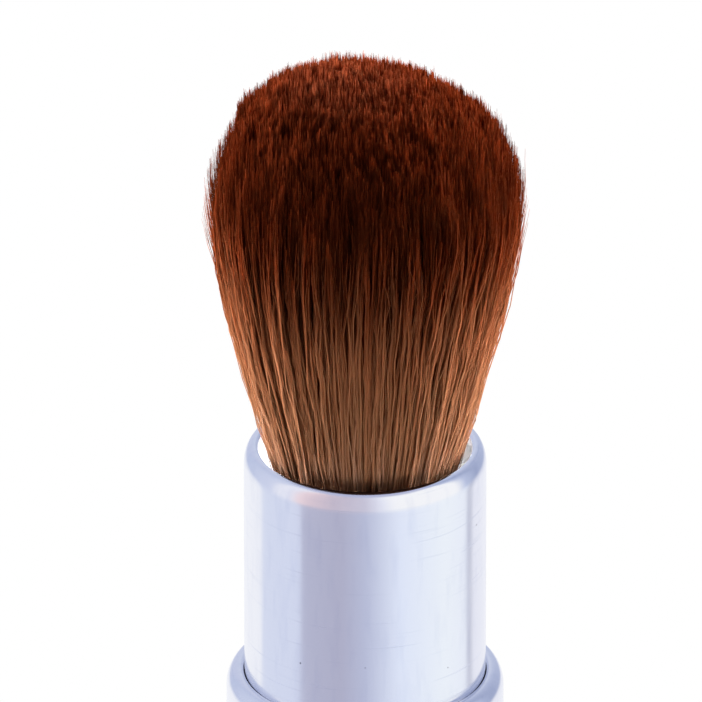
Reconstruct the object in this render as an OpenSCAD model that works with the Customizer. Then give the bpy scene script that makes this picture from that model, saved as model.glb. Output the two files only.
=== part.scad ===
// Retractable kabuki powder brush, shown with the hair out.
// The barrel stands on the floor at z = 0 and the brush axis is the z axis.
// Lengths are in millimetres.

/* [Barrel] */
// Outside diameter of the barrel
barrel_d = 28; // [27:0.5:34]
// Sheet thickness of the barrel and of the sleeve
sheet_t = 0.5; // [0.4:0.05:0.55]
// Rounding of the barrel's foot
foot_r = 0.3; // [0.1:0.05:0.35]
// Height of the elliptical shoulder on both rolled lips
shoulder_h = 2; // [1.2:0.1:2.6]
// Rounding of the inner nose of both rolled lips
nose_r = 0.4; // [0.25:0.05:0.5]
// How far the hem turns back down inside the barrel's lip, from the crest
hem_h = 2.4; // [1.2:0.1:4]

/* [Sleeve] */
// Width of the sleeve's rolled lip, from its outside to its mouth
lip_w = 1.5; // [1.3:0.05:2]
// How far the hem turns back down inside the sleeve's lip, from the crest
mouth_hem_h = 1.2; // [1.1:0.1:3]
// Height of the sleeve's lip over the barrel's lip with the hair out
sleeve_show = 24.8; // [21:0.2:40]
// Wall of the plastic liner in the sleeve
sleeve_liner_t = 0.68; // [0.4:0.02:0.9]

/* [Guides] */
// Wall of the bush between the barrel and the sleeve
bush_t = 1.2; // [0.8:0.05:1.6]
// Wall of the plastic liner in the barrel
barrel_liner_t = 0.5; // [0.4:0.02:0.52]
// Length of the bush under the barrel's lip
bush_h = 4; // [2:0.1:8]
// Bevel at both ends of the bush
bush_bevel = 0.3; // [0.1:0.05:0.5]
// Height of the slider ring's flange
ring_h = 5.5; // [3.5:0.1:8]
// Wall of the neck that the sleeve is pressed on
neck_t = 1.18; // [0.8:0.02:1.8]
// Height of that neck
neck_h = 4; // [2:0.1:6]
// Thickness of the slider ring's web
web_t = 1.8; // [1:0.1:3]
// Outside diameter of the slider ring's hub
hub_d = 13.6; // [12:0.1:15]
// Air holes in the slider ring's web
vent_n = 6; // [3:1:9]
// Diameter of one air hole
vent_d = 2; // [1:0.1:2.6]
// Section diameter of the friction ring
cord_d = 1; // [0.8:0.05:1.2]

/* [Base] */
// Width of the plug's rim round the base disc
rim_w = 1.06; // [0.7:0.02:2.4]
// Thickness of the base disc
disc_t = 1; // [0.6:0.1:1.5]
// Bevel of the base disc's lower edge
disc_bevel = 0.25; // [0.1:0.05:0.4]
// Thickness of the plug's floor over the disc
plug_t = 4; // [3.6:0.1:8]
// Depth of the post's socket in the plug
socket_h = 1.4; // [0.8:0.1:1.6]
// Height of the plug's rim over the floor
rim_lift = 0.3; // [0.1:0.05:0.6]

/* [Post] */
// Diameter of the post's round core
post_d = 7; // [6:0.1:7.6]
// Tip to tip width over two opposite ribs
rib_span = 10; // [9:0.1:10.8]
// Thickness of one rib
rib_t = 1.6; // [1:0.1:2.4]
// Thickness of the post's head in the ferrule
head_t = 2; // [1:0.1:3]
// Diameter of the knob that the resin grips
knob_d = 6; // [4:0.1:8]
// Height of the knob
knob_h = 3; // [2:0.1:5]
// How far the knob stands out over its waist
knob_lip = 1; // [0.4:0.1:1.6]

/* [Screw] */
// Diameter over the screw's thread
screw_d = 2.9; // [2.5:0.1:3.2]
// Length of the screw under its head
screw_l = 9; // [6:0.5:14]
// Diameter of the screw's head
screw_head_d = 5.5; // [5:0.1:6]
// Straight edge of the screw's head
head_land = 0.3; // [0.2:0.05:0.4]
// Pitch of the thread
screw_pitch = 1.1; // [0.9:0.05:1.4]
// Depth of the thread
thread_depth = 0.35; // [0.2:0.05:0.45]
// Width of the cross recess
recess_w = 3.3; // [2:0.1:3.8]
// Depth of the cross recess
recess_h = 1; // [0.6:0.05:1.2]

/* [Hair] */
// Height of the hair over the sleeve's mouth
hair_out = 41.5; // [30:0.5:50]
// Height of the widest place over the sleeve's mouth
hair_wide_z = 28; // [20:0.5:30]
// How far the hair stands out beyond the sleeve's side at its widest
hair_spread = 3.8; // [2:0.1:5]
// Depth of the ferrule's rim under the sleeve's lip
root_depth = 7.5; // [6:0.1:12]
// Outside diameter of the ferrule
ferrule_d = 16; // [15:0.1:17]
// Wall of the ferrule
ferrule_t = 0.4; // [0.3:0.05:0.5]
// Height of the ferrule
ferrule_h = 15; // [12:0.5:16]
// Inside diameter of the ferrule's turned-in foot
ferrule_foot_d = 11; // [10.6:0.1:13]
// Thickness of the hair's backing slice
slice_t = 1; // [0.6:0.1:1.5]
// Rings of cells that the strands stand on, six strands in the first ring, eighteen in the next
hair_rings = 8; // [8:1:9]
// Diameter of a strand where it leaves the slice
strand_root_d = 0.5; // [0.3:0.02:0.54]
// Diameter of a strand where it is thickest
strand_d = 1.1; // [0.6:0.05:1.2]

/* [Clearances] */
// Between pieces that are pressed or glued together
press_gap = 0.02; // [0.01:0.01:0.04]
// Between pieces that slide on each other
run_gap = 0.08; // [0.04:0.01:0.1]
// Between the slider ring and the ribbed post
key_gap = 0.15; // [0.1:0.01:0.3]
// Between the sleeve and the barrel's lip
lip_gap = 0.2; // [0.15:0.05:0.4]
// Between the sliding part and its lower stop
seat_gap = 0.3; // [0.2:0.05:0.4]
// Between the sliding part and its upper stop
stop_gap = 0.2; // [0.1:0.05:0.4]
// Height of the closed sleeve over the hair
cover_gap = 1.5; // [0.5:0.1:4]

/* [Hidden] */

arc_n = 8;
$fn = 96;
// How far a cut runs past the face that it opens
over = 1;

// Travel of the sleeve from hair out to hair covered
travel = hair_out + cover_gap;

// Radii from the outside inwards
barrel_r = barrel_d / 2;
barrel_in = barrel_r - sheet_t;
fixed_r = barrel_in - press_gap;
disc_r = fixed_r - rim_w - press_gap;
barrel_liner_in = fixed_r - barrel_liner_t;
flange_r = barrel_liner_in - run_gap;
bush_in = fixed_r - bush_t;
sleeve_r = bush_in - run_gap;
sleeve_in = sleeve_r - sheet_t;
neck_r = sleeve_in - press_gap;
neck_in = neck_r - neck_t;
mouth_r = sleeve_r - lip_w;
hair_r = sleeve_r + hair_spread;
barrel_mouth_r = sleeve_r + lip_gap;
cord_r = cord_d / 2;
cord_path_r = barrel_liner_in - press_gap - cord_r;
groove_r = cord_path_r - cord_r - press_gap;
ferrule_r = ferrule_d / 2;
ferrule_in = ferrule_r - ferrule_t;
filled_r = ferrule_in - press_gap;

// Heights from the floor upwards
disc_top = disc_t;
plug_z = disc_top + press_gap;
plug_top = plug_z + plug_t;
socket_z = plug_top - socket_h;
ring_z = plug_top + seat_gap;
ring_top = ring_z + ring_h;
neck_top = ring_top + neck_h;
bush_z = ring_top + travel + stop_gap;
bush_top = bush_z + bush_h;
barrel_h = bush_top + press_gap + max(hem_h, shoulder_h);
sleeve_z = ring_top + press_gap;
sleeve_top = barrel_h + sleeve_show;
mouth_z = sleeve_top - nose_r;
ferrule_top = sleeve_top - root_depth;
ferrule_z = ferrule_top - ferrule_h;
post_seat_z = ferrule_z + ferrule_t + press_gap;
post_top = post_seat_z + head_t;
waist_r = knob_d / 2 - knob_lip;
slice_z = ferrule_top - slice_t;
screw_z = plug_z + press_gap;
screw_cone_h = (screw_head_d - screw_d) / 2 + thread_depth;

// One rolled lip as points: up the outside, over the crest, down the hem and back inside the sheet.
function quarter(cx, cz, rx, rz, from, to) =
    [for (i = [0 : arc_n]) let (a = from + (to - from) * i / arc_n) [cx + rx * cos(a), cz + rz * sin(a)]];

module rolled_shell(outer_r, lip_in, foot_z, top_z, foot_round, hem) {
    side = outer_r - lip_in - nose_r;
    crest_r = lip_in + nose_r;
    hem_z = top_z - hem;
    hem_out = lip_in + sheet_t;
    inner_r = outer_r - sheet_t;
    roof_z = top_z - sheet_t;
    roof_w = inner_r - hem_out;
    outline = concat(
        [[inner_r, foot_z]],
        quarter(outer_r - foot_round, foot_z + foot_round, foot_round, foot_round, -90, 0),
        quarter(crest_r, top_z - shoulder_h, side, shoulder_h, 0, 90),
        quarter(crest_r, top_z - nose_r, nose_r, nose_r, 90, 180),
        [[lip_in, hem_z], [hem_out, hem_z]],
        roof_w > 0.05
            ? concat([[hem_out, roof_z - roof_w / 2]],
                     quarter(hem_out + roof_w / 2, roof_z - roof_w / 2, roof_w / 2, roof_w / 2, 180, 0))
            : [[inner_r, roof_z - sheet_t]]
    );
    rotate_extrude() polygon(outline);
}

// A turned ring with bevelled ends
module bevelled_ring(outer_r, inner_r, z0, z1, bevel_out, bevel_in) {
    rotate_extrude() polygon([
        [inner_r + bevel_in, z0], [outer_r - bevel_out, z0], [outer_r, z0 + bevel_out],
        [outer_r, z1 - bevel_out], [outer_r - bevel_out, z1], [inner_r + bevel_in, z1],
        [inner_r, z1 - bevel_in], [inner_r, z0 + bevel_in]
    ]);
}

// The ribbed section of the post, grown by a clearance
module ribbed_bar(z0, z1, grow) {
    translate([0, 0, z0]) cylinder(r = post_d / 2 + grow, h = z1 - z0);
    for (turn = [0, 90])
        rotate([0, 0, turn])
            translate([-rib_span / 2 - grow, -rib_t / 2 - grow, z0])
                cube([rib_span + 2 * grow, rib_t + 2 * grow, z1 - z0]);
}

module outer_barrel() {
    color([0.80, 0.81, 0.86])
        rolled_shell(barrel_r, barrel_mouth_r, 0, barrel_h, foot_r, hem_h);
}

module barrel_liner() {
    color([0.18, 0.18, 0.19])
        bevelled_ring(fixed_r, barrel_liner_in, plug_top + press_gap, bush_z - press_gap,
                      barrel_liner_t / 5, barrel_liner_t / 5);
}

module guide_bush() {
    color([0.90, 0.90, 0.91])
        bevelled_ring(fixed_r, bush_in, bush_z, bush_top, bush_bevel, bush_bevel);
}

module base_plug() {
    cone_top = screw_z + head_land + screw_cone_h;
    color([0.20, 0.20, 0.21])
        difference() {
            bevelled_ring(fixed_r, 0, rim_lift, plug_top, bush_bevel, 0);
            translate([0, 0, rim_lift - over])
                cylinder(r = disc_r + press_gap, h = plug_z - rim_lift + over);
            translate([0, 0, plug_z - over])
                cylinder(r = screw_head_d / 2 + 2 * press_gap, h = screw_z + head_land - plug_z + over);
            translate([0, 0, screw_z + head_land])
                cylinder(r1 = screw_head_d / 2 + 2 * press_gap, r2 = screw_d / 2 - thread_depth + 2 * press_gap,
                         h = screw_cone_h);
            translate([0, 0, plug_z])
                cylinder(r = screw_d / 2 + 2 * press_gap, h = plug_t + over);
            ribbed_bar(socket_z, plug_top + over, press_gap);
        }
}

module base_disc() {
    color([0.78, 0.79, 0.83])
        rotate_extrude() polygon([
            [0, 0], [disc_r - disc_bevel, 0], [disc_r, disc_bevel], [disc_r, disc_top], [0, disc_top]
        ]);
}

// The thread is a row of turned ridges.
module post_screw() {
    core_r = screw_d / 2 - thread_depth;
    land_z = screw_z + head_land;
    neck_z = land_z + screw_cone_h;
    tip_z = land_z + screw_l;
    turns = floor((screw_l - screw_cone_h - screw_pitch) / screw_pitch);
    ridges = [for (i = [0 : turns - 1]) let (z = neck_z + (i + 0.3) * screw_pitch)
              each [[core_r, z], [screw_d / 2, z + 0.3 * screw_pitch],
                    [screw_d / 2, z + 0.4 * screw_pitch], [core_r, z + 0.7 * screw_pitch]]];
    color([0.55, 0.56, 0.58])
        difference() {
            rotate_extrude() polygon(concat(
                [[0, screw_z], [screw_head_d / 2, screw_z], [screw_head_d / 2, land_z], [core_r, neck_z]],
                ridges,
                [[core_r, tip_z - screw_pitch / 2], [0, tip_z]]
            ));
            for (turn = [0, 90])
                rotate([0, 0, turn])
                    translate([-recess_w / 2, -thread_depth, screw_z - over])
                        cube([recess_w, 2 * thread_depth, recess_h + over]);
        }
}

module core_post() {
    pilot_h = screw_z + head_land + screw_l - socket_z + screw_pitch;
    color([0.86, 0.86, 0.87])
        difference() {
            union() {
                ribbed_bar(socket_z + press_gap, post_seat_z + head_t / 2, 0);
                rotate_extrude() polygon([
                    [0, post_seat_z], [filled_r, post_seat_z], [filled_r, post_top], [waist_r, post_top],
                    [waist_r, post_top + knob_h / 3], [knob_d / 2, post_top + knob_h / 2],
                    [knob_d / 2, post_top + knob_h], [0, post_top + knob_h]
                ]);
            }
            translate([0, 0, socket_z - over])
                cylinder(r = screw_d / 2 + 2 * press_gap, h = pilot_h + over);
        }
}

// A drawn cup whose foot is turned in under the post's head
module ferrule() {
    lead = ferrule_t / 2;
    color([0.74, 0.75, 0.78])
        rotate_extrude() polygon(concat(
            [[ferrule_foot_d / 2, ferrule_z]],
            quarter(ferrule_r - 2 * ferrule_t, ferrule_z + 2 * ferrule_t, 2 * ferrule_t, 2 * ferrule_t, -90, 0),
            quarter(ferrule_in + lead, ferrule_top - lead, lead, lead, 0, 180),
            [[ferrule_in, ferrule_z + ferrule_t], [ferrule_foot_d / 2, ferrule_z + ferrule_t]]
        ));
}

module potting() {
    grip = press_gap;
    color([0.83, 0.72, 0.42])
        rotate_extrude() polygon([
            [waist_r + grip, post_top + grip], [filled_r, post_top + grip],
            [filled_r, slice_z - press_gap], [0, slice_z - press_gap],
            [0, post_top + knob_h + grip], [knob_d / 2 + grip, post_top + knob_h + grip],
            [knob_d / 2 + grip, post_top + knob_h / 2 - grip], [waist_r + grip, post_top + knob_h / 3 - grip]
        ]);
}

// Outline of the hair: the slice's radius swells to the widest place, and an oblate dome closes it.
hair_root_z = ferrule_top - mouth_z;
swell = 1.35;
dome_p = 2.2;
edge_share = 1 - 1 / (3 * hair_rings);
function outline_r(z) =
    let (t = (z - hair_root_z) / (hair_wide_z - hair_root_z))
    filled_r + (hair_r / edge_share - filled_r) * (1 - pow(1 - min(t, 1), swell));
function dome_z(share) =
    hair_wide_z + (hair_out - hair_wide_z) * sqrt(1 - pow(min(share, 1), dome_p));

// The slice's top is a mesh of three-cornered cells between rings of points, with one strand on each cell.
function ring_start(k) = k == 0 ? 0 : 1 + 3 * k * (k - 1);
function on_ring(k, i) = k == 0 ? 0 : ring_start(k) + (i % (6 * k));
function ring_point(k, i) =
    k == 0 ? [0, 0] : filled_r * k / hair_rings * [cos(60 * i / k), sin(60 * i / k)];

cells = [for (k = [0 : hair_rings - 1], side = [0 : 5], j = [0 : k])
         each concat(
             [[on_ring(k, side * k + j), on_ring(k + 1, side * (k + 1) + j), on_ring(k + 1, side * (k + 1) + j + 1)]],
             j < k
                 ? [[on_ring(k, side * k + j), on_ring(k + 1, side * (k + 1) + j + 1), on_ring(k, side * k + j + 1)]]
                 : []
         )];

// The corners of one strand: three rings that follow the outline above the cell's middle, then the tip.
function strand_points(corners) =
    let (mid = (corners[0] + corners[1] + corners[2]) / 3,
         tip = dome_z(norm(mid) / filled_r / edge_share),
         rise = tip - hair_root_z,
         heights = [hair_root_z, hair_root_z + 0.3 * rise, hair_root_z + 0.7 * rise],
         radii = [strand_root_d, (strand_root_d + strand_d) / 2, strand_d] / 2)
    concat(
        [for (i = [0 : 2], j = [0 : 2])
         let (flat = mid * outline_r(heights[i]) / filled_r
                     + radii[i] * (corners[j] - mid) / norm(corners[j] - mid))
         [flat[0], flat[1], heights[i]]],
        [concat(mid * outline_r(tip) / filled_r, [tip])]
    );

// The strands and their slice are one closed skin.
module bristles() {
    top_n = ring_start(hair_rings + 1);
    rim = ring_start(hair_rings);
    rim_n = 6 * hair_rings;
    strand_n = 10;
    top = [for (k = [0 : hair_rings], i = [0 : max(6 * k - 1, 0)]) ring_point(k, i)];
    low = top_n + strand_n * len(cells);
    points = concat(
        [for (p = top) [p[0], p[1], hair_root_z]],
        [for (c = cells) each strand_points([top[c[0]], top[c[1]], top[c[2]]])],
        [for (i = [0 : rim_n - 1]) [top[rim + i][0], top[rim + i][1], hair_root_z - slice_t]],
        [[0, 0, hair_root_z - slice_t]]
    );
    around = [for (n = [0 : len(cells) - 1], j = [0 : 2])
              let (a = top_n + strand_n * n + j, b = top_n + strand_n * n + (j + 1) % 3,
                   corner_a = cells[n][j], corner_b = cells[n][(j + 1) % 3])
              each [[a, b, corner_b], [a, corner_b, corner_a]]];
    sides = [for (n = [0 : len(cells) - 1], i = [0 : 1], j = [0 : 2])
             let (first = top_n + strand_n * n + 3 * i, a = first + j, b = first + (j + 1) % 3)
             each [[a + 3, b + 3, b], [a + 3, b, a]]];
    tips = [for (n = [0 : len(cells) - 1], j = [0 : 2])
            let (first = top_n + strand_n * n + 6)
            [first + 3, first + (j + 1) % 3, first + j]];
    wall = [for (i = [0 : rim_n - 1]) let (next = (i + 1) % rim_n)
            each [[rim + i, rim + next, low + next], [rim + i, low + next, low + i]]];
    under = [for (i = [0 : rim_n - 1]) [low + rim_n, low + i, low + (i + 1) % rim_n]];
    color([0.36, 0.16, 0.10])
        translate([0, 0, mouth_z])
            polyhedron(points, concat(around, sides, tips, wall, under));
}

module sleeve() {
    color([0.82, 0.83, 0.88])
        rolled_shell(sleeve_r, mouth_r, sleeve_z, sleeve_top, sheet_t / 2, mouth_hem_h);
}

module sleeve_liner() {
    color([0.93, 0.93, 0.94])
        bevelled_ring(neck_r, neck_r - sleeve_liner_t, neck_top + press_gap,
                      sleeve_top - mouth_hem_h - press_gap, sleeve_liner_t / 5, sleeve_liner_t / 5);
}

// The piston that carries the sleeve: a keyed hub, a web with air holes, a grooved flange and a neck.
module slider_ring() {
    groove_z = ring_z + ring_h / 2;
    groove_h = cord_r + press_gap;
    web_z = ring_top - web_t;
    color([0.88, 0.88, 0.89])
        difference() {
            union() {
                rotate_extrude() polygon([
                    [neck_in, ring_z], [flange_r - bush_bevel, ring_z], [flange_r, ring_z + bush_bevel],
                    [flange_r, groove_z - groove_h], [groove_r, groove_z - groove_h],
                    [groove_r, groove_z + groove_h], [flange_r, groove_z + groove_h],
                    [flange_r, ring_top], [neck_r, ring_top], [neck_r, neck_top - bush_bevel],
                    [neck_r - bush_bevel, neck_top], [neck_in, neck_top]
                ]);
                translate([0, 0, ring_z]) cylinder(r = hub_d / 2, h = ring_h);
                translate([0, 0, web_z]) cylinder(r = (neck_in + groove_r) / 2, h = web_t);
            }
            ribbed_bar(ring_z - over, ring_top + over, key_gap);
            for (i = [0 : vent_n - 1])
                rotate([0, 0, 360 * (i + 0.5) / vent_n])
                    translate([(hub_d / 2 + neck_in) / 2, 0, web_z - over])
                        cylinder(r = vent_d / 2, h = web_t + 2 * over, $fn = 32);
        }
}

module friction_ring() {
    color([0.10, 0.10, 0.10])
        translate([0, 0, ring_z + ring_h / 2])
            rotate_extrude() translate([cord_path_r, 0]) circle(r = cord_r, $fn = 24);
}

outer_barrel();
barrel_liner();
guide_bush();
base_plug();
base_disc();
post_screw();
core_post();
ferrule();
potting();
bristles();
sleeve();
sleeve_liner();
slider_ring();
friction_ring();
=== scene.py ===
import math
import bmesh
import bpy
import numpy as np
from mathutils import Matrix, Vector
from mathutils.kdtree import KDTree


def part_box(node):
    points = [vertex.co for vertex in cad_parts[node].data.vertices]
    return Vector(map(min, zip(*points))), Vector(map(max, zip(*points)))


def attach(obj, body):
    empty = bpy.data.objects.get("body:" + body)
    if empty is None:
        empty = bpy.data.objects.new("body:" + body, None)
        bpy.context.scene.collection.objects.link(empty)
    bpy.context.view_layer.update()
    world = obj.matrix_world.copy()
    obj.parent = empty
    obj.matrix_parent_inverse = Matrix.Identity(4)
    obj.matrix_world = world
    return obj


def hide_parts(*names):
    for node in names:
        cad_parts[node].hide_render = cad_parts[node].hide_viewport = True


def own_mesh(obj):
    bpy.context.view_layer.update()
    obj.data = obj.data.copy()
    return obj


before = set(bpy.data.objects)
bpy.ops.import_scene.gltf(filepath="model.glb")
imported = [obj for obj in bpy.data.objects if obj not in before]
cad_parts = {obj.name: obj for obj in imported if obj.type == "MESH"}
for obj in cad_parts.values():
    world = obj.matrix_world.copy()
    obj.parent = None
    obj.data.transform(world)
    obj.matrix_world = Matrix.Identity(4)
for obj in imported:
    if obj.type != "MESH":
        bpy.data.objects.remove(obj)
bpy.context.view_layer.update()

mm = 0.001


def top(node):
    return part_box(node)[1][2]


# the sleeve's mouth is the centre of its rolled nose
sheetThickness = 0.5 * mm
noseRadius = 0.4 * mm
sleeveTop = top("sleeve")
mouthHeight = sleeveTop - noseRadius
hairTop = top("bristles")
hairRoot = top("ferrule")


# helpers

def linear(hexColour):
    channels = [int(hexColour[i:i + 2], 16) / 255 for i in (1, 3, 5)]
    return tuple(c / 12.92 if c < 0.04045 else ((c + 0.055) / 1.055) ** 2.4 for c in channels) + (1.0,)


def addNode(tree, kind, settings=None, **links):
    node = tree.nodes.new(kind)
    for name, value in (settings or {}).items():
        if name == "stops":
            ramp = node.color_ramp
            for i, (place, colour) in enumerate(value):
                element = ramp.elements[i] if i < 2 else ramp.elements.new(place)
                element.position = place
                element.color = linear(colour) if isinstance(colour, str) else (colour, colour, colour, 1.0)
        elif name in node.inputs.keys():
            node.inputs[name].default_value = value
        elif name.isdigit():
            node.inputs[int(name)].default_value = value
        else:
            setattr(node, name, value)
    for name, source in links.items():
        socket = node.inputs[int(name[1:])] if name[0] == "i" and name[1:].isdigit() else node.inputs[name]
        tree.links.new(source, socket)
    return node


def emptyMaterial(name):
    material = bpy.data.materials.new(name)
    material.use_nodes = True
    tree = material.node_tree
    tree.nodes.clear()
    output = tree.nodes.new("ShaderNodeOutputMaterial")
    return material, tree, output


def newPiece(name, mesh, material, body, node=None):
    piece = bpy.data.objects.new(name, mesh)
    bpy.context.scene.collection.objects.link(piece)
    mesh.materials.clear()
    mesh.materials.append(material)
    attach(piece, body)
    if node:
        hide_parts(node)
    return piece


# turned aluminium shells

turnedShell = {
    "steps": 192,            # facets round the axis
    "sharpAngle": 40,
    "shoulderSteps": 14,
    "noseSteps": 10,
    "hollowSteps": 6,        # round the inside of the roll
    "footSteps": 5,
    "wallRows": 12,
}


def arc(centre, radii, start, end, steps):
    angles = [math.radians(start + (end - start) * i / steps) for i in range(steps + 1)]
    return [(centre[0] + radii[0] * math.cos(a), centre[1] + radii[1] * math.sin(a)) for a in angles]


def lathe(name, outline, steps, sharpAngle):
    shape = bmesh.new()
    corners = [shape.verts.new((r, 0, z)) for r, z in outline]
    edges = [shape.edges.new((a, b)) for a, b in zip(corners, corners[1:] + corners[:1])]
    bmesh.ops.spin(shape, geom=corners + edges, cent=(0, 0, 0), axis=(0, 0, 1), angle=math.tau,
                   steps=steps, use_merge=True)
    bmesh.ops.remove_doubles(shape, verts=shape.verts, dist=1e-7)
    bmesh.ops.recalc_face_normals(shape, faces=shape.faces)
    mesh = bpy.data.meshes.new(name)
    shape.to_mesh(mesh)
    shape.free()
    mesh.shade_smooth()
    mesh.set_sharp_from_angle(angle=math.radians(sharpAngle))
    return mesh


def rolledOutline(outerRadius, mouthRadius, foot, crest, shoulder, hem, footRound):
    crestRadius = mouthRadius + noseRadius
    side = outerRadius - crestRadius
    inner = outerRadius - sheetThickness
    hemOut = mouthRadius + sheetThickness
    hollow = (inner - hemOut) / 2
    roof = crest - sheetThickness - hollow
    rows = turnedShell["wallRows"]
    wall = [(outerRadius, foot + (crest - shoulder - foot) * k / rows) for k in range(1, rows)]
    back = [(inner, foot + (roof - foot) * k / rows) for k in range(rows - 1, 0, -1)]
    footArc = arc((outerRadius - footRound, foot + footRound), (footRound, footRound), -90, 0,
                  turnedShell["footSteps"])
    shoulderArc = arc((crestRadius, crest - shoulder), (side, shoulder), 0, 90, turnedShell["shoulderSteps"])
    noseArc = arc((crestRadius, crest - noseRadius), (noseRadius, noseRadius), 90, 180,
                  turnedShell["noseSteps"])
    hemEnd = [(mouthRadius, crest - hem), (hemOut, crest - hem)]
    hollowArc = arc((hemOut + hollow, roof), (hollow, hollow), 180, 0, turnedShell["hollowSteps"])
    return [(inner, foot)] + footArc + wall + shoulderArc + noseArc[1:] + hemEnd + hollowArc + back


turnedMetal = {
    "colour": "#f3f4f9",
    "roughness": 0.13,
    "markSpacing": 0.12,     # mm between turning marks, drawn coarser than real ones so they show
    "markDepth": 0.2,
    "ringStretch": 25,       # how slowly the rings change round the axis
    "scratchStretch": 90,
    "cloudScale": 160.0,
    "scratchRange": (0.62, 0.80),  # the part of the noise that shows, the higher the fewer
    "smearRange": (0.50, 0.80),
    "smearStrength": 0.5,
    "scuff": 0.07,           # how much rougher the handled patches are
    "scratched": "#e2e6f1",
    "scratchWidth": 0.25,    # mm, drawn coarser than real ones so they show
    "scratchDull": 0.22,     # how much rougher a scratch is
    "smeared": "#e2e5f1",
    "smearWidth": 1.2,       # mm
    "smearHeight": 6,        # mm
    "speck": "#5c5a6e",
    "specks": [],
}
sleeveSpecks = [             # azimuth from the front in degrees, mm under the sleeve's top, radius in mm
    (-32.2, 19.4, 0.11), (0.0, 19.0, 0.07), (66.4, 6.6, 0.10), (43.0, 20.6, 0.08),
]


# Turned and polished aluminium: the tool leaves fine rings round the axis, and handling adds faint scratches
# along them, dull smears up and down and a few dark specks. The cup, the disc and the screw share its rings.
def turnedAluminium(name, look):
    material, tree, output = emptyMaterial(name)
    place = addNode(tree, "ShaderNodeTexCoord").outputs["Object"]
    slow = look["ringStretch"]
    rings = addNode(tree, "ShaderNodeMapping", {"Scale": (slow, slow, 1000 / look["markSpacing"] / 6)},
                    Vector=place)
    marks = addNode(tree, "ShaderNodeTexNoise", {"Scale": 1.0, "Detail": 4.0, "Roughness": 0.7},
                    Vector=rings.outputs[0])
    cloud = addNode(tree, "ShaderNodeTexNoise", {"Scale": look["cloudScale"], "Detail": 3.0}, Vector=place)
    wear = addNode(tree, "ShaderNodeValToRGB",
                   {"stops": [(0.35, look["roughness"]), (0.75, look["roughness"] + look["scuff"])]},
                   Fac=cloud.outputs["Fac"])
    long = look["scratchStretch"]
    along = addNode(tree, "ShaderNodeMapping", {"Scale": (long, long, 1000 / look["scratchWidth"])},
                    Vector=place)
    lines = addNode(tree, "ShaderNodeTexNoise", {"Scale": 1.0, "Detail": 2.0}, Vector=along.outputs[0])
    faint, strong = look["scratchRange"]
    scratches = addNode(tree, "ShaderNodeMapRange", {"From Min": faint, "From Max": strong},
                        Value=lines.outputs["Fac"])
    across = 1000 / look["smearWidth"]
    upright = addNode(tree, "ShaderNodeMapping", {"Scale": (across, across, 1000 / look["smearHeight"])},
                      Vector=place)
    patches = addNode(tree, "ShaderNodeTexNoise", {"Scale": 1.0, "Detail": 3.0}, Vector=upright.outputs[0])
    faint, strong = look["smearRange"]
    smears = addNode(tree, "ShaderNodeMapRange",
                     {"From Min": faint, "From Max": strong, "To Max": look["smearStrength"]},
                     Value=patches.outputs["Fac"])
    smeared = addNode(tree, "ShaderNodeMixRGB",
                      {"Color1": linear(look["colour"]), "Color2": linear(look["smeared"])},
                      Fac=smears.outputs["Result"])
    colour = addNode(tree, "ShaderNodeMixRGB", {"Color2": linear(look["scratched"])},
                     Fac=scratches.outputs["Result"], Color1=smeared.outputs[0]).outputs[0]
    for x, y, z, radius in look["specks"]:
        away = addNode(tree, "ShaderNodeVectorMath", {"operation": "DISTANCE", "1": (x, y, z)}, i0=place)
        dot = addNode(tree, "ShaderNodeMapRange", {"From Min": radius, "From Max": radius * 0.5},
                      Value=away.outputs["Value"])
        colour = addNode(tree, "ShaderNodeMixRGB", {"Color2": linear(look["speck"])},
                         Fac=dot.outputs["Result"], Color1=colour).outputs[0]
    dull = addNode(tree, "ShaderNodeMath", {"operation": "MULTIPLY_ADD", "1": look["scratchDull"]},
                   i0=scratches.outputs["Result"], i2=wear.outputs["Color"])
    bump = addNode(tree, "ShaderNodeBump", {"Strength": look["markDepth"], "Distance": 0.00002},
                   Height=marks.outputs["Fac"])
    shader = addNode(tree, "ShaderNodeBsdfPrincipled", {"Metallic": 1.0},
                     Roughness=dull.outputs[0], Normal=bump.outputs["Normal"], **{"Base Color": colour})
    tree.links.new(shader.outputs[0], output.inputs["Surface"])
    return material


plasticLooks = {
    "whiteAbs": {"colour": "#f4f4f6", "roughness": 0.32, "grain": 0.02},
    "blackAbs": {"colour": "#26262a", "roughness": 0.45, "grain": 0.05},
    "castResin": {"colour": "#cfb26c", "roughness": 0.25, "grain": 0.03},
    "ringRubber": {"colour": "#151515", "roughness": 0.7, "grain": 0.08},
}


# Moulded ABS, cast resin and rubber: an even colour with the fine grain of the mould.
def mouldedPlastic(name, look):
    material, tree, output = emptyMaterial(name)
    place = addNode(tree, "ShaderNodeTexCoord").outputs["Object"]
    grain = addNode(tree, "ShaderNodeTexNoise", {"Scale": 4000.0, "Detail": 2.0}, Vector=place)
    flow = addNode(tree, "ShaderNodeTexNoise", {"Scale": 90.0, "Detail": 2.0}, Vector=place)
    tone = addNode(tree, "ShaderNodeValToRGB",
                   {"stops": [(0.3, look["roughness"] - 0.04), (0.7, look["roughness"] + 0.06)]},
                   Fac=flow.outputs["Fac"])
    bump = addNode(tree, "ShaderNodeBump", {"Strength": look["grain"], "Distance": 0.00005},
                   Height=grain.outputs["Fac"])
    shader = addNode(tree, "ShaderNodeBsdfPrincipled", {"Base Color": linear(look["colour"]), "IOR": 1.53},
                     Roughness=tone.outputs["Color"], Normal=bump.outputs["Normal"])
    tree.links.new(shader.outputs[0], output.inputs["Surface"])
    return material


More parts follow.
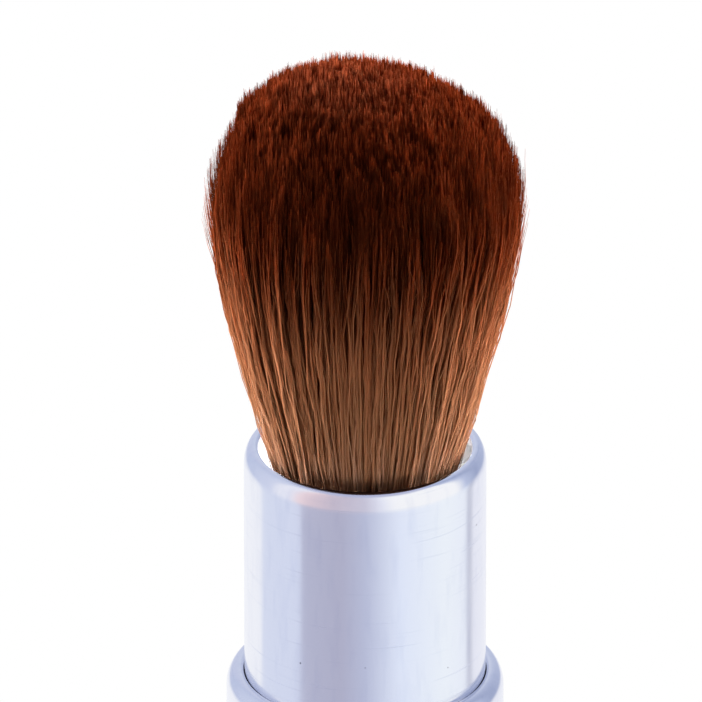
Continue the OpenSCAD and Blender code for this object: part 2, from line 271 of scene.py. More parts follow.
sleeveRadius = 12.2 * mm
placedSpecks = [(sleeveRadius * math.sin(math.radians(a)), -sleeveRadius * math.cos(math.radians(a)),
                 sleeveTop - drop * mm, radius * mm) for a, drop, radius in sleeveSpecks]
sleeveMetal = turnedAluminium("turnedAluminiumSleeve", {**turnedMetal, "specks": placedSpecks})
barrelMetal = turnedAluminium("turnedAluminiumBarrel", turnedMetal)
discMetal = turnedAluminium("satinAluminiumDisc", {**turnedMetal, "roughness": 0.28})
drawnMetal = turnedAluminium("drawnAluminiumCup", {**turnedMetal, "colour": "#d5d6dc", "roughness": 0.3})
screwSteel = turnedAluminium("zincPlatedSteel", {**turnedMetal, "colour": "#b9bbbf", "roughness": 0.3})
whiteAbs = mouldedPlastic("mouldedWhiteAbs", plasticLooks["whiteAbs"])
blackAbs = mouldedPlastic("mouldedBlackAbs", plasticLooks["blackAbs"])
castResin = mouldedPlastic("castEpoxyResin", plasticLooks["castResin"])
ringRubber = mouldedPlastic("nitrileRubberRing", plasticLooks["ringRubber"])

sleeveShape = {
    "outer": sleeveRadius,
    "mouth": 10.7 * mm,
    "shoulder": 2 * mm,
    "hem": 1.2 * mm,
    "footRound": 0.25 * mm,
}
barrelShape = {
    "outer": 14 * mm,
    "mouth": 12.23 * mm,
    "shoulder": 2 * mm,
    "hem": 2.4 * mm,
    "footRound": 0.3 * mm,
}

for node, shape, metal, body, slotName in (
    ("sleeve", sleeveShape, sleeveMetal, "sleeve_body", "sleeve_metal"),
    ("outer_barrel", barrelShape, barrelMetal, "barrel_body", "barrel_metal"),
):
    low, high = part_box(node)
    outline = rolledOutline(shape["outer"], shape["mouth"], low[2], high[2], shape["shoulder"], shape["hem"],
                            shape["footRound"])
    shell = lathe(node + "Shell", outline, turnedShell["steps"], turnedShell["sharpAngle"])
    newPiece(node + "Shell", shell, metal, body, node)
print("turned shells made")

for node, material in (
    ("barrel_liner", blackAbs), ("guide_bush", whiteAbs), ("base_plug", blackAbs), ("base_disc", discMetal),
    ("post_screw", screwSteel), ("core_post", whiteAbs), ("ferrule", drawnMetal), ("potting", castResin),
    ("sleeve_liner", whiteAbs), ("slider_ring", whiteAbs), ("friction_ring", ringRubber),
):
    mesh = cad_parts[node].data
    mesh.materials.clear()
    mesh.materials.append(material)
print("CAD pieces finished")


# hair

hairShape = {
    "wideHeight": 28 * mm,
    "wideRadius": 16 * mm,
    "rootRadius": 7.45 * mm,
    "swell": 1.35,
    "domePower": 2.3,
    "lean": 0.14,            # the crown is a little taller on its left
    "headShift": 0.25 * mm,  # the head leans over a little to its right
    "sectors": 24,
    "seed": 7,
    "thickness": 0.095 * mm,
    "thicknesses": (0.7, 1.3),  # from the thinnest hair to the thickest, as shares of that
    "ripples": (6 * mm, 20 * mm),
    "taperFrom": 0.80,       # share of its length from which a hair thins to its tip
    "taper": 0.75,
    "tipLength": 2.8 * mm,   # the part of a hair that has the tip's tone, paler at the tips: partly their own colour, partly painted light on them
    "faceFrom": 14 * mm,     # the heights between which a hair goes from its lower tone to its upper one; the upper one is deeper, as painted shade on the head's face
    "faceTo": 24 * mm,
    "shiftFrom": 16 * mm,
    "shiftTo": 30 * mm,
    "crowding": 1.6,         # how much closer a hair's rings stand near its tip
    "squeezed": 0.63,        # share of its width that the hair keeps in the closed sleeve
}
mantleShape = {
    "count": 18500,
    "inner": 0.78,
    "rings": 10,
    "sunk": 0.5 * mm,        # how far under the ferrule's rim the hairs start
    "ragged": 0.9 * mm,      # how far down the tips scatter, at the inner side
    "raggedOuter": 3.4 * mm,
    "wave": 0.04 * mm,
    "looseShare": 0.10,
    "looseWave": 0.24 * mm,
    "shortShare": 0.05,      # outer hairs that end early, on the light part or in the dark
    "shortLow": 15 * mm,
    "shortHigh": 33 * mm,
    "thinFrom": 0.89,        # the hairs thin out from here to the outer side
    "outer": 1.05,
    "rimFrom": 0.95,         # the outermost hairs, which are the palest: painted light, for the light that shines through them
    "shortFrom": 0.93,
    "layeredFrom": 0.82,     # outside of this, half the tips end lower, in layers
    "layered": 0.5,
    "dyeRagged": 1.3 * mm,
    "paleDye": 2.5 * mm,     # how much lower the dye reads on a pale hair
    "darkTone": 0.1,         # tones go from 0, the deep colours, to 1, the pale ones
    "lockTone": 0.45,        # how much a hair's lock adds to its tone
    "hairTone": 0.25,        # how much each hair differs by itself
    "paleTones": (0.6, 0.95),
    "paintedRimLightTone": 0.9,
    "faceTone": 0.2,         # share of the tone that is left up on the face, the rest taken off as painted shade
    "facePale": 0.2,
    "paintedRimLightTipTone": 0.95,
    "paintedRimLightTipShare": 0.8,
}
crownShape = {
    "count": 44000,
    "rings": 4,
    "ragged": 0.9 * mm,
    "depth": 9 * mm,         # only the ends of these hairs are made, as the rest is hidden
    "overlap": 0.04,
    "wave": 0.07 * mm,
    # the crown's hairs are drawn deep under their tips: painted shade among the tufts
    "tone": 0.12,
}
lockShape = {
    "count": 1300,
    "pullLow": 0.15,
    "pullHigh": 0.75,
    "wave": 0.10 * mm,
    "waves": (6 * mm, 15 * mm),
    "fullHeight": 4 * mm,    # over the mouth, from where the locks are drawn together fully
    "dyeRagged": 1.4 * mm,   # how far up and down the dye's edge wanders from lock to lock
}
tuftShape = {
    "count": 7000,
    "pull": 0.5,
    "rise": 0.28 * mm,
    "trim": 0.1 * mm,        # what the tips lose, so that the tallest tufts stay at the right height
    "point": 1.3,            # how much shorter a hair is for its distance from the middle of its tuft
    "length": 7 * mm,
    "clumps": 900,           # the tufts lean together again in larger clumps
    "clumpPull": 0.15,
    "clumpRise": 0.22 * mm,
    "drift": 0.035,          # how far the hairs drift together, which opens gaps
    "driftSizes": (1.1 * mm, 2.3 * mm, 4.9 * mm),
    "driftSeed": 5,
}
hairApex = hairTop - mouthHeight
hairDepth = hairRoot - mouthHeight


def outlineRadius(height):
    rise = np.clip((height - hairDepth) / (hairShape["wideHeight"] - hairDepth), 0, 1)
    return hairShape["rootRadius"] + (hairShape["wideRadius"] - hairShape["rootRadius"]) * (
        1 - (1 - rise) ** hairShape["swell"])


def domeHeight(share):
    over = np.sqrt(np.clip(1 - np.clip(share, 0, 1) ** hairShape["domePower"], 0, 1))
    return hairShape["wideHeight"] + (hairApex - hairShape["wideHeight"]) * over


# one hair as a three-sided stick; its rings are the places that every hair bends at
def hairPrototype(rings):
    shape = bmesh.new()
    bmesh.ops.create_circle(shape, segments=3, radius=1.0, cap_ends=False)
    loop = list(shape.edges)
    for k in range(1, rings):
        grown = bmesh.ops.extrude_edge_only(shape, edges=loop)
        verts = [g for g in grown["geom"] if isinstance(g, bmesh.types.BMVert)]
        loop = [g for g in grown["geom"] if isinstance(g, bmesh.types.BMEdge)]
        bmesh.ops.translate(shape, verts=verts, vec=(0, 0, 1.0))
    bmesh.ops.triangulate(shape, faces=shape.faces)
    shape.verts.index_update()
    points = np.array([v.co for v in shape.verts])
    faces = np.array([[v.index for v in f.verts] for f in shape.faces])
    shape.free()
    a, b, c = (points[faces[:, k]] for k in range(3))
    outward = (np.cross(b - a, c - a)[:, :2] * ((a + b + c) / 3)[:, :2]).sum(axis=1)
    faces[outward < 0] = faces[outward < 0][:, ::-1]
    return points, faces


random = np.random.default_rng(hairShape["seed"])


def smoothStep(low, high, value):
    t = np.clip((value - low) / (high - low), 0, 1)
    return t * t * (3 - 2 * t)


def nearest(points, centres):
    tree = KDTree(len(centres))
    for i, centre in enumerate(centres):
        tree.insert((centre[0], centre[1], 0), i)
    tree.balance()
    return np.array([tree.find((point[0], point[1], 0))[1] for point in points])


# hairs are named by where they stand in a disc of radius 1, which the outline then swells at each height
def discPoints(count, inner, outer):
    share = np.sqrt(random.uniform(inner ** 2, outer ** 2, count))
    turn = random.uniform(0, math.tau, count)
    return np.stack([share * np.cos(turn), share * np.sin(turn)], axis=1)


def ripple(height, count, shortest, longest):
    pace = math.tau / random.uniform(shortest, longest, (count, 2, 3))
    phase = random.uniform(0, math.tau, (count, 2, 3))
    size = random.uniform(0.3, 1.0, (count, 2, 3))
    wave = np.sin(height[:, :, None, None] * pace[:, None] + phase[:, None]) * size[:, None]
    return wave.sum(axis=3)


# an uneven drift over the disc that opens and closes gaps between the hairs
def drift(points, wavelengths, seed):
    shifts = np.random.default_rng(seed)
    total = np.zeros_like(points)
    for wavelength in wavelengths:
        for _ in range(5):
            turn = shifts.uniform(0, math.tau)
            direction = np.array([math.cos(turn), math.sin(turn)])
            along = points @ direction * math.tau * hairShape["wideRadius"] / wavelength
            total += np.sin(along + shifts.uniform(0, math.tau))[:, None] * direction * wavelength
    return total / hairShape["wideRadius"] * tuftShape["drift"]


tufts = discPoints(tuftShape["count"], 0, 1.0)
clumps = discPoints(tuftShape["clumps"], 0, 1.0)
clumpRises = -np.abs(random.normal(0, tuftShape["clumpRise"], len(clumps)))
tuftClump = nearest(tufts, clumps)
tufts = tufts + (clumps[tuftClump] - tufts) * tuftShape["clumpPull"] * random.uniform(0.2, 1, (len(tufts), 1))
tuftRises = random.normal(0, tuftShape["rise"], len(tufts)) + clumpRises[tuftClump]
tuftTones = random.beta(0.8, 1.4, len(tufts))
locks = discPoints(lockShape["count"], mantleShape["inner"], 1.0)
lockPulls = random.uniform(lockShape["pullLow"], lockShape["pullHigh"], len(locks))
lockTones = random.uniform(0, 1, len(locks))
lockDyes = random.normal(0, lockShape["dyeRagged"], len(locks))
lockSeeds = random.uniform(0, math.tau, (len(locks), 2, 3))
lockPaces = math.tau / random.uniform(*lockShape["waves"], (len(locks), 2, 3))


# bends every copy of the prototype and returns its points, its faces and where each corner reads the dye
def growHairs(starts, shape, bottoms, tips, waves, tones, dyeShifts):
    points, faces = hairPrototype(shape["rings"])
    count = len(starts)
    share = np.linalg.norm(starts, axis=1)
    tuft = nearest(starts, tufts)
    lock = nearest(starts, locks)
    aside = np.linalg.norm(starts - tufts[tuft], axis=1) * hairShape["wideRadius"]
    tips = tips + tuftRises[tuft] - tuftShape["point"] * aside - tuftShape["trim"]
    tips = tips - hairShape["lean"] * hairShape["wideRadius"] * starts[:, 0] * (1 - share ** 2)
    level = 1 - (1 - points[:, 2] / (shape["rings"] - 1)) ** hairShape["crowding"]
    height = bottoms[:, None] + (tips - bottoms)[:, None] * level[None, :]
    near = smoothStep(0, 1, 1 + (height - tips[:, None]) / tuftShape["length"])[:, :, None]
    tuftPull = random.uniform(0.1, 1, count)[:, None, None] * tuftShape["pull"] * near
    inLock = (share > mantleShape["inner"]) * lockPulls[lock]
    rooted = smoothStep(hairDepth, lockShape["fullHeight"], height)[:, :, None]
    lockPull = inLock[:, None, None] * (1 - near) * rooted
    flat = starts[:, None, :] + (tufts[tuft] - starts)[:, None, :] * tuftPull
    flat = flat + (locks[lock] - starts)[:, None, :] * lockPull
    flat = flat + drift(starts, tuftShape["driftSizes"], tuftShape["driftSeed"])[:, None, :] * near
    place = flat * outlineRadius(height)[:, :, None]
    lockTurn = height[:, :, None, None] * lockPaces[lock][:, None] + lockSeeds[lock][:, None]
    lockWave = np.sin(lockTurn).sum(axis=3)
    place = place + lockWave * (inLock > 0)[:, None, None] * lockShape["wave"] * (1 - near)
    place = place + ripple(height, count, *hairShape["ripples"]) * waves[:, None, None]
    headLean = smoothStep(hairShape["shiftFrom"], hairShape["shiftTo"], height)
    place[:, :, 0] += hairShape["headShift"] * headLean
    taper = 1 - smoothStep(hairShape["taperFrom"], 1.0, level) * hairShape["taper"]
    thickness = hairShape["thickness"] / 2 * random.uniform(*hairShape["thicknesses"], count)
    width = thickness[:, None] * taper[None, :]
    twist = random.uniform(0, math.tau, count)
    corner = np.arctan2(points[:, 1], points[:, 0])[None, :] + twist[:, None]
    xyz = np.stack([
        place[:, :, 0] + width * np.cos(corner),
        place[:, :, 1] + width * np.sin(corner),
        height + mouthHeight,
    ], axis=2)
    reach = height + dyeShifts[:, None] - hairDepth
    dye = np.clip(reach / (hairApex - hairDepth), 0, 1)
    low, high, end = (tone[:, None] for tone in tones)
    shade = low + (high - low) * smoothStep(hairShape["faceFrom"], hairShape["faceTo"], height)
    shade = shade + (end - shade) * smoothStep(-hairShape["tipLength"], 0, height - tips[:, None])
    shade = np.clip(shade, 0.02, 0.98)  # kept off the edges of the UV map
    return xyz, faces, np.stack([shade, dye], axis=2)


mantle = discPoints(mantleShape["count"], mantleShape["inner"], mantleShape["outer"])
mantleShare = np.linalg.norm(mantle, axis=1)
mantleThin = smoothStep(mantleShape["thinFrom"], mantleShape["outer"], mantleShare)
mantleKept = random.uniform(0, 1, len(mantle)) > mantleThin
mantle, mantleShare = mantle[mantleKept], mantleShare[mantleKept]
mantleCount = len(mantle)
mantleLuck = random.uniform(0, 1, mantleCount)
mantleOuter = smoothStep(mantleShape["rimFrom"], 1.0, mantleShare)
mantleLoose = mantleLuck < mantleShape["looseShare"]
mantleShort = (mantleLuck > 1 - mantleShape["shortShare"]) & (mantleShare > mantleShape["shortFrom"])
mantlePale = mantleLoose | mantleShort
mantleLayered = smoothStep(mantleShape["layeredFrom"], 1.0, mantleShare)
mantleLayered = mantleLayered * (random.uniform(0, 1, mantleCount) < mantleShape["layered"])
mantleRagged = mantleShape["ragged"] + (mantleShape["raggedOuter"] - mantleShape["ragged"]) * mantleLayered
mantleTips = domeHeight(mantleShare) - random.exponential(1, mantleCount) * mantleRagged
mantleShortTips = random.uniform(mantleShape["shortLow"], mantleShape["shortHigh"], mantleCount)
mantleTips = np.where(mantleShort, mantleShortTips, mantleTips)
mantleWaves = np.where(mantleLoose, mantleShape["looseWave"], mantleShape["wave"])
# how pale each hair is: near its root, up on the face and at its tip; the pale colours it mixes in are partly
# painted sheen
mantleTones = mantleShape["darkTone"] + mantleShape["lockTone"] * lockTones[nearest(mantle, locks)]
mantleTones = mantleTones + random.uniform(0, mantleShape["hairTone"], mantleCount)
mantleTones = np.where(mantlePale, random.uniform(*mantleShape["paleTones"], mantleCount), mantleTones)
# the outermost hairs are drawn pale: painted light shining through them
mantleTones = mantleTones + (mantleShape["paintedRimLightTone"] - mantleTones) * mantleOuter
mantleSpread = random.uniform(0, 1, mantleCount) ** 1.5
# up on the face the hairs keep only a share of their tone: painted shade
mantleTopShare = mantleShape["faceTone"] + mantleSpread * mantleOuter + mantleShape["facePale"] * mantlePale
mantleTopTones = mantleTones * mantleTopShare
# paler tips: partly the tips' own colour, partly painted light on them
mantleTipTones = 0.5 * tuftTones[nearest(mantle, tufts)] + 0.5 * random.uniform(0, 1, mantleCount) ** 2.5
# the outermost hairs' tips are drawn pale too: painted light
mantleTipTones = mantleTipTones + (mantleShape["paintedRimLightTipTone"] - mantleTipTones) * (
    mantleShape["paintedRimLightTipShare"] * mantleOuter)
mantleDyes = lockDyes[nearest(mantle, locks)] + random.normal(0, mantleShape["dyeRagged"], mantleCount)
mantleDyes = np.where(mantlePale, mantleDyes - mantleShape["paleDye"], mantleDyes)

crown = discPoints(crownShape["count"], 0.0, mantleShape["inner"] + crownShape["overlap"])
crownShare = np.linalg.norm(crown, axis=1)
crownTips = domeHeight(crownShare) - random.exponential(crownShape["ragged"], len(crown))
# the crown's hairs are deep under their paler tips: painted shade among the tufts
crownTones = random.uniform(0, crownShape["tone"], len(crown))
crownTipTones = 0.5 * tuftTones[nearest(crown, tufts)] + 0.5 * random.uniform(0, 1, len(crown)) ** 2.5
mantleRoots = np.full(mantleCount, hairDepth - mantleShape["sunk"])
mantleHairs = growHairs(mantle, mantleShape, mantleRoots, mantleTips, mantleWaves,
                        (mantleTones, mantleTopTones, mantleTipTones), mantleDyes)
crownWaves = np.full(len(crown), crownShape["wave"])
crownHairs = growHairs(crown, crownShape, crownTips - crownShape["depth"], crownTips, crownWaves,
                       (crownTones, crownTones, crownTipTones), np.zeros(len(crown)))
batches = [(mantle, mantleHairs), (crown, crownHairs)]

# the dye's colours from the root, 0, to the top of the head, 1, on the darkest and on the palest hairs, with
# painted light in them: the palest are partly painted sheen, the lighter colours from 0.95 to 1 are painted
# light on the top of the head, and the deep colours' darkest band from 0.66 to 0.88 is partly painted shade
# on the head's face
hairColours = {
    "deep": [
        (0.00, "#c48e66"), (0.20, "#803c14"), (0.32, "#662702"), (0.45, "#4e1d04"), (0.55, "#380f02"),
        (0.66, "#1a0300"), (0.78, "#0c0000"), (0.88, "#100000"), (0.95, "#200300"), (1.00, "#400c02"),
    ],
    "pale": [
        (0.00, "#d0a68c"), (0.20, "#b68462"), (0.32, "#b07955"), (0.45, "#ab6f4c"), (0.55, "#a46542"),
        (0.66, "#a05230"), (0.78, "#a04a26"), (0.88, "#a44a26"), (0.95, "#b0522c"), (1.00, "#cc7450"),
    ],
    "through": 0.55,         # share of the light that a hair's wall lets through
    "redness": [(0.30, "#ffffff"), (0.70, "#ffdec4")],  # what comes through is redder where the dye is
    "clearing": 0.5,         # the power that makes the dye lighter in the light that comes through
    "roughness": 0.45,
}


# Dyed polyester filament: smooth round fibres with a soft sheen, dark red brown over light brown. The fibres
# have no gloss of their own here; the sheen is painted, as paler colours mixed in by each hair's tone.
def dyedFilament(name, look):
    material, tree, output = emptyMaterial(name)
    uv = addNode(tree, "ShaderNodeUVMap", {"uv_map": "OFBake"})
    split = addNode(tree, "ShaderNodeSeparateXYZ", Vector=uv.outputs[0])
    deep = addNode(tree, "ShaderNodeValToRGB", {"stops": look["deep"]}, Fac=split.outputs["Y"])
    pale = addNode(tree, "ShaderNodeValToRGB", {"stops": look["pale"]}, Fac=split.outputs["Y"])
    shade = addNode(tree, "ShaderNodeMixRGB", None, Fac=split.outputs["X"], Color1=deep.outputs["Color"],
                    Color2=pale.outputs["Color"])
    shader = addNode(tree, "ShaderNodeBsdfPrincipled",
                     {"Roughness": look["roughness"], "IOR": 1.5, "Specular IOR Level": 0.0},
                     **{"Base Color": shade.outputs[0]})
    clear = addNode(tree, "ShaderNodeGamma", {"Gamma": look["clearing"]}, Color=shade.outputs[0])
    redness = addNode(tree, "ShaderNodeValToRGB", {"stops": look["redness"]}, Fac=split.outputs["Y"])
    redder = addNode(tree, "ShaderNodeMixRGB", {"blend_type": "MULTIPLY", "Fac": 1.0},
                     Color1=clear.outputs[0], Color2=redness.outputs["Color"])
    glow = addNode(tree, "ShaderNodeBsdfTranslucent", Color=redder.outputs[0])
    fibre = addNode(tree, "ShaderNodeMixShader", {"Fac": look["through"]}, i1=shader.outputs[0],
                    i2=glow.outputs[0])
    tree.links.new(fibre.outputs[0], output.inputs["Surface"])
    return material


hairMaterial = dyedFilament("dyedPolyesterHair", hairColours)

sectorCount = hairShape["sectors"]
for sector in range(sectorCount):
    vertexParts, faceParts, uvParts = [], [], []
    offset = 0
    for starts, (xyz, faces, uv) in batches:
        angle = np.mod(np.arctan2(starts[:, 1], starts[:, 0]), math.tau)
        chosen = (angle * sectorCount / math.tau).astype(int) == sector
        hairs = xyz[chosen]
        stride = hairs.shape[1]
        shift = offset + stride * np.arange(len(hairs))
        vertexParts.append(hairs.reshape(-1, 3))
        faceParts.append((faces[None, :, :] + shift[:, None, None]).reshape(-1, 3))
        uvParts.append(uv[chosen].reshape(-1, 2))
        offset += len(hairs) * stride
    verts, faces, uv = np.concatenate(vertexParts), np.concatenate(faceParts), np.concatenate(uvParts)
    mesh = bpy.data.meshes.new(f"hairLock{sector + 1:02d}")
    mesh.vertices.add(len(verts))
    mesh.vertices.foreach_set("co", verts.astype(np.float32).ravel())
    mesh.loops.add(len(faces) * 3)
    mesh.loops.foreach_set("vertex_index", faces.astype(np.int32).ravel())
    mesh.polygons.add(len(faces))
    mesh.polygons.foreach_set("loop_start", np.arange(0, len(faces) * 3, 3, dtype=np.int32))
    mesh.update(calc_edges=True)
    layer = mesh.uv_layers.new(name="OFBake")
    layer.data.foreach_set("uv", uv[faces.ravel()].astype(np.float32).ravel())
    mesh.shade_smooth()
    replaced = "bristles" if sector == 0 else None
    piece = newPiece(mesh.name, mesh, hairMaterial, "barrel_body", replaced)
    piece.visible_glossy = False  # so the lips mirror the room and not a brown blur
    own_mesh(piece)
print("hair made:", sum(len(b[1][0]) for b in batches), "hairs")


# The imported hair deep inside, which keeps the light out. It is slim enough for the closed sleeve, and its
# colour follows the dye: light brown by the root, dark red brown above, both darker than the hairs as painted
# shade of the packed hair.
coreShape = {
    "share": 0.78,
    "widest": 10.3 * mm,
    "depth": 7 * mm,
    "rows": 12,
    "capRows": 10,
    "tip": 0.02,             # share of the width where the cap ends
    "footRadius": 0.05 * mm,
    "topDrop": 2 * mm,       # how far under the head's widest place the side ends
    "roughness": 0.9,
    "dyed": 16 * mm,         # the height over the mouth from which the dye is at its darkest
    "light": "#844e30",
    "dark": "#200804",
    "steps": 48,
    "sharpAngle": 60,
}


def hairCore():
    heights = np.linspace(hairDepth, hairShape["wideHeight"] - coreShape["topDrop"], coreShape["rows"])
    side = [(min(coreShape["share"] * float(outlineRadius(h)), coreShape["widest"]), float(h) + mouthHeight)
            for h in heights]
    edge = coreShape["widest"] / hairShape["wideRadius"]
    shares = np.linspace(edge, coreShape["tip"], coreShape["capRows"])[1:]
    lift = mouthHeight - coreShape["depth"]
    cap = [(float(s) * hairShape["wideRadius"], float(domeHeight(s)) + lift) for s in shares]
    return [(coreShape["footRadius"], side[0][1])] + side + cap


coreMaterial, coreTree, coreOutput = emptyMaterial("packedHairShadow")
corePlace = addNode(coreTree, "ShaderNodeTexCoord").outputs["Object"]
coreRise = addNode(coreTree, "ShaderNodeSeparateXYZ", Vector=corePlace).outputs["Z"]
coreDye = addNode(coreTree, "ShaderNodeMapRange",
                  {"From Min": mouthHeight, "From Max": mouthHeight + coreShape["dyed"]}, Value=coreRise)
coreStops = [(0.0, coreShape["light"]), (1.0, coreShape["dark"])]
coreColour = addNode(coreTree, "ShaderNodeValToRGB", {"stops": coreStops}, Fac=coreDye.outputs["Result"])
coreShader = addNode(coreTree, "ShaderNodeBsdfPrincipled", {"Roughness": coreShape["roughness"]},
                     **{"Base Color": coreColour.outputs["Color"]})
coreTree.links.new(coreShader.outputs[0], coreOutput.inputs["Surface"])
coreMesh = lathe("hairCore", hairCore(), coreShape["steps"], coreShape["sharpAngle"])
newPiece("hairCore", coreMesh, coreMaterial, "barrel_body", None)
print("core made")


# camera

cameraPlace = {
    "elevation": 25.5,
    "lens": 900,             # mm, a long lens far off, as the photograph has almost no perspective
    "sensor": 36,            # mm
    "widthShown": 70.34 * mm,
    "target": (-1.42 * mm, 0.0, mouthHeight + 10.8 * mm),
    "nearest": 0.05,         # m, how near and how far the camera sees
    "farthest": 20,
}
tilt = math.radians(cameraPlace["elevation"])
cameraData = bpy.data.cameras.new("camera")
cameraData.lens = cameraPlace["lens"]
cameraData.sensor_width = cameraPlace["sensor"]
distance = cameraPlace["widthShown"] * cameraPlace["lens"] / cameraData.sensor_width
cameraData.clip_start = cameraPlace["nearest"]
cameraData.clip_end = cameraPlace["farthest"]
camera = bpy.data.objects.new("camera", cameraData)
bpy.context.scene.collection.objects.link(camera)
camera.location = Vector(cameraPlace["target"]) + distance * Vector((0, -math.cos(tilt), math.sin(tilt)))
camera.rotation_euler = (math.pi / 2 - tilt, 0, 0)
bpy.context.scene.camera = camera


# light

studio = {
    "worldColour": "#ebebee",
    "worldStrength": 0.45,
    "keyPower": 4.4,
    "leftPower": 12.48,
    "rightPower": 11.52,
    "backPower": 9.0,
    "linerPower": 3.4,
    "aim": (0, 0, 0.08),     # m, what the lamps point at, the brush's middle
    "floorRadius": 12.0,     # m
    "floorColour": "#f2f2f4",
    "floorSeen": "#a8a8aa",  # the same paper to the camera, dark enough to show the shadow
    "shadowNear": 0.05,      # m from the axis, between which the floor goes from shaded to plain white
    "shadowFar": 0.11,
    "lowTo": 0.20,           # m from the axis, between which metal goes from the low tones to the high ones
    "highFrom": 0.40,
    # what metal mirrors, by the share of a turn from behind over the left to the front, 0.5, and the right
    "low": [
        (0.000, "#f8f9fd"), (0.180, "#f8f9fd"), (0.195, "#dde3f4"), (0.325, "#dae0f3"),
        (0.335, "#bbbdd3"), (0.440, "#b6b6cc"), (0.500, "#bfc4dc"), (0.590, "#e8effe"), (0.720, "#f6fbff"),
        (0.800, "#f2f6fe"), (0.813, "#c6c8d8"), (0.825, "#d0d2de"), (0.840, "#eff0f9"), (1.000, "#f8f9fd"),
    ],
    "high": [
        (0.000, "#cfd6ea"), (0.080, "#c9cfe7"), (0.110, "#c2cbe5"), (0.180, "#cfd6ec"), (0.235, "#d4daef"),
        (0.255, "#f2f3fb"), (0.300, "#eceefa"), (0.325, "#f6dfe2"), (0.360, "#e0cdd6"), (0.420, "#cdc2d0"),
        (0.500, "#cfcbdc"), (0.545, "#eceefa"), (0.575, "#ffffff"), (0.760, "#ffffff"), (0.790, "#c3cce6"),
        (0.840, "#a4aecd"), (0.920, "#b6bfdb"), (1.000, "#cfd6ea"),
    ],
    "overhead": "#bcc0dc",
}


def softbox(name, place, size, power, colour):
    data = bpy.data.lights.new(name, "AREA")
    data.shape = "RECTANGLE"
    data.size, data.size_y = size
    data.energy = power
    data.color = linear(colour)[:3]
    lamp = bpy.data.objects.new(name, data)
    bpy.context.scene.collection.objects.link(lamp)
    lamp.location = place
    lamp.rotation_euler = (Vector(studio["aim"]) - Vector(place)).to_track_quat("-Z", "Y").to_euler()
    lamp.visible_glossy = False
    return lamp


softbox("topSoftbox", (0.05, 0.12, 0.65), (0.5, 0.4), studio["keyPower"], "#ffffff")
softbox("leftSoftbox", (-0.45, 0.26, 0.20), (0.3, 0.4), studio["leftPower"], "#ffffff")
softbox("rightSoftbox", (0.45, 0.22, 0.20), (0.3, 0.4), studio["rightPower"], "#ffffff")
softbox("backSoftbox", (0.0, 0.6, 0.25), (0.6, 0.4), studio["backPower"], "#ffffff")

# a small lamp for the white wall inside the mouth alone, which the hair would shade
linerLamp = softbox("linerLamp", (0.04, -0.05, 0.30), (0.15, 0.15), studio["linerPower"], "#ffffff")
litWall = bpy.data.collections.new("litWall")
litWall.objects.link(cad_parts["sleeve_liner"])
linerLamp.light_linking.receiver_collection = litWall
linerLamp.light_linking.blocker_collection = litWall


# the tones that metal mirrors in a direction from the brush
def mirrorTones(tree, direction, stops):
    place = addNode(tree, "ShaderNodeSeparateXYZ", Vector=direction)
    front = addNode(tree, "ShaderNodeMath", {"operation": "MULTIPLY", "1": -1.0}, i0=place.outputs["Y"])
    turn = addNode(tree, "ShaderNodeMath", {"operation": "ARCTAN2"}, i0=place.outputs["X"],
                   i1=front.outputs[0])
    share = addNode(tree, "ShaderNodeMapRange", {"From Min": -math.pi, "From Max": math.pi},
                    Value=turn.outputs[0])
    return addNode(tree, "ShaderNodeValToRGB", {"stops": stops}, Fac=share.outputs["Result"]).outputs["Color"]


world = bpy.data.worlds.new("studio")
bpy.context.scene.world = world
world.use_nodes = True
worldTree = world.node_tree
worldTree.nodes.clear()
worldOutput = worldTree.nodes.new("ShaderNodeOutputWorld")
direction = addNode(worldTree, "ShaderNodeTexCoord").outputs["Generated"]
rise = addNode(worldTree, "ShaderNodeSeparateXYZ", Vector=direction).outputs["Z"]
overHorizon = addNode(worldTree, "ShaderNodeMapRange", {"From Min": -0.15, "From Max": 0.0}, Value=rise)
overFront = addNode(worldTree, "ShaderNodeMapRange", {"From Min": 0.80, "From Max": 0.92}, Value=rise)
side = addNode(worldTree, "ShaderNodeMixRGB", None, Fac=overHorizon.outputs["Result"],
               Color1=mirrorTones(worldTree, direction, studio["low"]),
               Color2=mirrorTones(worldTree, direction, studio["high"]))
mirrored = addNode(worldTree, "ShaderNodeMixRGB", {"Color2": linear(studio["overhead"])},
                   Fac=overFront.outputs["Result"], Color1=side.outputs[0])
room = addNode(worldTree, "ShaderNodeBackground", {"Color": linear(studio["worldColour"]),
                                                   "Strength": studio["worldStrength"]})
mirrorRoom = addNode(worldTree, "ShaderNodeBackground", {"Strength": 1.0}, Color=mirrored.outputs[0])
white = addNode(worldTree, "ShaderNodeBackground", {"Color": (1, 1, 1, 1), "Strength": 1.0})
ray = addNode(worldTree, "ShaderNodeLightPath")
clear = addNode(worldTree, "ShaderNodeMath", {"operation": "MAXIMUM"}, i0=ray.outputs["Is Camera Ray"],
                i1=ray.outputs["Is Transmission Ray"])
shiny = addNode(worldTree, "ShaderNodeMixShader", None, i0=ray.outputs["Is Glossy Ray"], i1=room.outputs[0],
                i2=mirrorRoom.outputs[0])
pick = addNode(worldTree, "ShaderNodeMixShader", None, i0=clear.outputs[0], i1=shiny.outputs[0],
               i2=white.outputs[0])
worldTree.links.new(pick.outputs[0], worldOutput.inputs["Surface"])

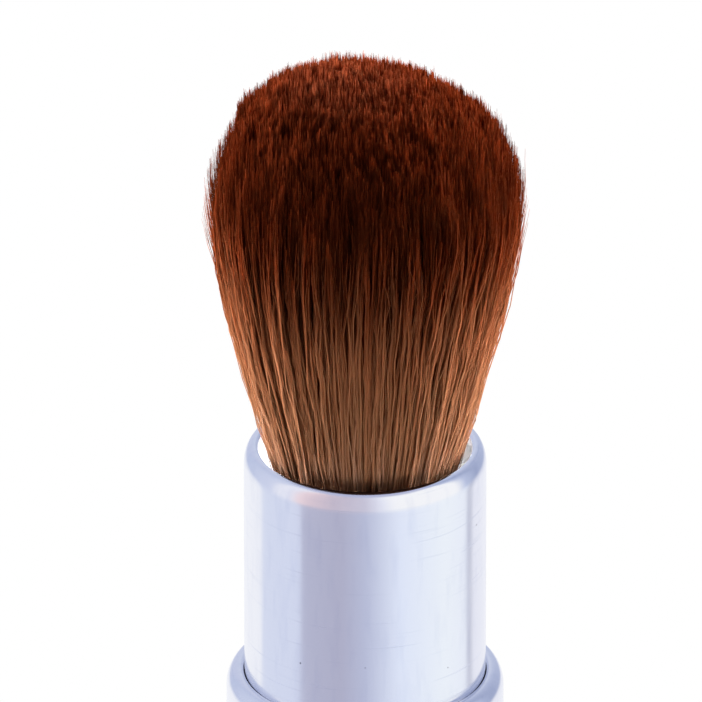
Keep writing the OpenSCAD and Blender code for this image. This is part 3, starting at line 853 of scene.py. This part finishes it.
# Floor: white paper. To the camera it keeps the brush's shadow near the foot and is plain white further out;
# metal mirrors the same tones in it as in the room.
floorShape = bmesh.new()
bmesh.ops.create_circle(floorShape, cap_ends=True, segments=96, radius=studio["floorRadius"])
floorMesh = bpy.data.meshes.new("floor")
floorShape.to_mesh(floorMesh)
floorShape.free()
floor = bpy.data.objects.new("floor", floorMesh)
bpy.context.scene.collection.objects.link(floor)
paper, paperTree, paperOutput = emptyMaterial("whitePaper")
matt = addNode(paperTree, "ShaderNodeBsdfDiffuse", {"Color": linear(studio["floorColour"])})
floorPlace = addNode(paperTree, "ShaderNodeTexCoord").outputs["Object"]
glow = addNode(paperTree, "ShaderNodeEmission", {"Color": (1, 1, 1, 1), "Strength": 1.0})
floorRay = addNode(paperTree, "ShaderNodeLightPath")
shaded = addNode(paperTree, "ShaderNodeBsdfDiffuse", {"Color": linear(studio["floorSeen"])})
under = addNode(paperTree, "ShaderNodeMixShader", None, i0=floorRay.outputs["Is Camera Ray"],
                i1=matt.outputs[0], i2=shaded.outputs[0])
reach = addNode(paperTree, "ShaderNodeVectorMath", {"operation": "LENGTH"}, i0=floorPlace)
distant = addNode(paperTree, "ShaderNodeMapRange",
                  {"From Min": studio["lowTo"], "From Max": studio["highFrom"]}, Value=reach.outputs["Value"])
mirrorPaper = addNode(paperTree, "ShaderNodeMixRGB", None, Fac=distant.outputs["Result"],
                      Color1=mirrorTones(paperTree, floorPlace, studio["low"]),
                      Color2=mirrorTones(paperTree, floorPlace, studio["high"]))
mirrorGlow = addNode(paperTree, "ShaderNodeEmission", {"Strength": 1.0}, Color=mirrorPaper.outputs[0])
far = addNode(paperTree, "ShaderNodeMapRange",
              {"From Min": studio["shadowNear"], "From Max": studio["shadowFar"]},
              Value=reach.outputs["Value"])
plain = addNode(paperTree, "ShaderNodeMath", {"operation": "MULTIPLY"}, i0=far.outputs["Result"],
                i1=floorRay.outputs["Is Camera Ray"])
seen = addNode(paperTree, "ShaderNodeMath", {"operation": "MAXIMUM"}, i0=plain.outputs[0],
               i1=floorRay.outputs["Is Glossy Ray"])
tinted = addNode(paperTree, "ShaderNodeMixShader", None, i0=floorRay.outputs["Is Glossy Ray"],
                 i1=glow.outputs[0], i2=mirrorGlow.outputs[0])
paperMix = addNode(paperTree, "ShaderNodeMixShader", None, i0=seen.outputs[0], i1=under.outputs[0],
                   i2=tinted.outputs[0])
paperTree.links.new(paperMix.outputs[0], paperOutput.inputs["Surface"])
floorMesh.materials.append(paper)
bpy.context.scene.view_settings.view_transform = "Standard"
print("camera, light and floor made")
